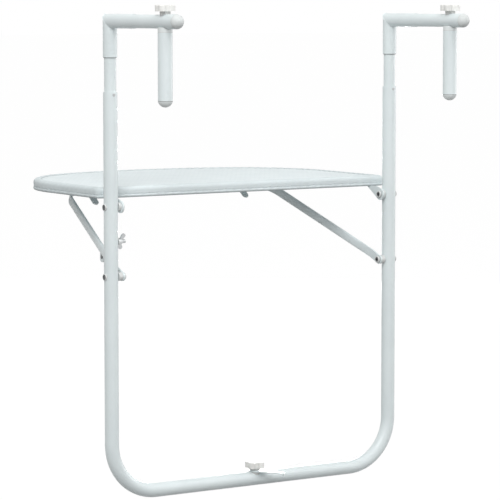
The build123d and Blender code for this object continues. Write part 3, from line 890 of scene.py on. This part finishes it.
# %% [markdown]
# ## Floor, light and background
# The photograph has a plain white ground. The floor and the world are white for the camera, for glossy
# and for see-through rays. Other rays meet a grey floor, as in a dark room, so the undersides stay in
# shade.


# %% White for the camera
def camera_white_share(tree):
    path = tree.nodes.new("ShaderNodeLightPath")
    first = tree.nodes.new("ShaderNodeMath")
    first.operation = "MAXIMUM"
    tree.links.new(path.outputs["Is Camera Ray"], first.inputs[0])
    tree.links.new(path.outputs["Is Glossy Ray"], first.inputs[1])
    second = tree.nodes.new("ShaderNodeMath")
    second.operation = "MAXIMUM"
    tree.links.new(first.outputs[0], second.inputs[0])
    tree.links.new(path.outputs["Is Transmission Ray"], second.inputs[1])
    return second.outputs[0]


# %% World
soft_colour = (1.0, 0.99, 0.975, 1.0)
soft_strength = 0.36
white = (1.0, 1.0, 1.0, 1.0)
world = bpy.data.worlds.new("studio")
bpy.context.scene.world = world
world.use_nodes = True
tree = world.node_tree
soft = tree.nodes["Background"]
soft.inputs["Color"].default_value = soft_colour
soft.inputs["Strength"].default_value = soft_strength
bright = tree.nodes.new("ShaderNodeBackground")
bright.inputs["Color"].default_value = white
bright.inputs["Strength"].default_value = 1.0
choose = tree.nodes.new("ShaderNodeMixShader")
tree.links.new(camera_white_share(tree), choose.inputs["Fac"])
tree.links.new(soft.outputs[0], choose.inputs[1])
tree.links.new(bright.outputs[0], choose.inputs[2])
tree.links.new(choose.outputs[0], tree.nodes["World Output"].inputs["Surface"])
print("World strength:", soft_strength)

# %% Floor sheet
floor_half = 60.0
floor_gap = 0.0005
floor_shape = bmesh.new()
bmesh.ops.create_grid(floor_shape, x_segments=1, y_segments=1, size=floor_half)
bmesh.ops.translate(floor_shape, verts=floor_shape.verts, vec=(0, 0, cad_box[0][2] - floor_gap))
floor_mesh = bpy.data.meshes.new("floor")
floor_shape.to_mesh(floor_mesh)
floor_shape.free()
floor = bpy.data.objects.new("floor", floor_mesh)
bpy.context.collection.objects.link(floor)
print("Floor at", round(cad_box[0][2] - floor_gap, 4))

# %% Floor finish
floor_grey = (0.30, 0.30, 0.30, 1.0)
floor_roughness = 0.9
shadow_grey = (0.05, 0.05, 0.05, 1.0)
glow_strength = 0.975
floor_white = bpy.data.materials.new("floor_white")
floor_white.use_nodes = True
tree = floor_white.node_tree
matt = tree.nodes["Principled BSDF"]
matt.inputs["Base Color"].default_value = floor_grey
matt.inputs["Roughness"].default_value = floor_roughness
shadowed = tree.nodes.new("ShaderNodeBsdfDiffuse")
shadowed.inputs["Color"].default_value = shadow_grey
glow = tree.nodes.new("ShaderNodeEmission")
glow.inputs["Strength"].default_value = glow_strength
ground = tree.nodes.new("ShaderNodeAddShader")
tree.links.new(shadowed.outputs[0], ground.inputs[0])
tree.links.new(glow.outputs[0], ground.inputs[1])
choose = tree.nodes.new("ShaderNodeMixShader")
tree.links.new(camera_white_share(tree), choose.inputs["Fac"])
tree.links.new(matt.outputs[0], choose.inputs[1])
tree.links.new(ground.outputs[0], choose.inputs[2])
tree.links.new(choose.outputs[0], tree.nodes["Material Output"].inputs["Surface"])
floor.data.materials.append(floor_white)
print("Floor finish:", floor_white.name)

# %% [markdown]
# ## Lamps
# The photograph was lit from all round, as a product is in a white tent. A wide key lamp hangs high
# over the camera, so the brace lies in the top's shadow. A second lamp stands lower on that side, two
# hang over the arms, and weaker ones stand at the front, the right, the back and near the floor. The
# last one fills the side that the photograph does not show, so that the folded top is not left in the
# dark. It stands lower than the open top, which would mirror it.


# %% Lamps
def soft_lamp(name, place, target, side, power):
    lamp_data = bpy.data.lights.new(name, "AREA")
    lamp_data.size = side
    lamp_data.energy = power
    lamp = bpy.data.objects.new(name, lamp_data)
    lamp.location = place
    aim = Vector(target) - Vector(place)
    lamp.rotation_euler = aim.to_track_quat("-Z", "Y").to_euler()
    lamp.visible_camera = False
    bpy.context.collection.objects.link(lamp)
    return lamp


table_middle = (0.0, -0.1, -0.35)
studio = (
    ("key_lamp", (2.0, 2.0, 2.4), 1.4, 58.0),
    ("left_lamp", (2.6, 2.4, 1.2), 1.4, 28.0),
    ("near_top_lamp", (-0.2, 1.1, 1.5), 1.2, 11.0),
    ("far_top_lamp", (0.0, 0.5, 2.6), 1.8, 4.0),
    ("front_lamp", (-2.6, 2.4, 1.0), 1.4, 14.0),
    ("right_lamp", (-3.2, 0.2, 0.3), 1.4, 27.0),
    ("back_lamp", (3.0, -1.8, 0.6), 1.4, 4.0),
    ("low_lamp", (0.6, 3.9, -0.4), 1.6, 8.0),
    ("fill_lamp", (-2.0, -2.8, -0.5), 0.4, 45.0),
)
for lamp_name, place, lamp_side, power in studio:
    soft_lamp(lamp_name, place, table_middle, lamp_side, power)
bpy.context.scene.view_settings.view_transform = "Standard"
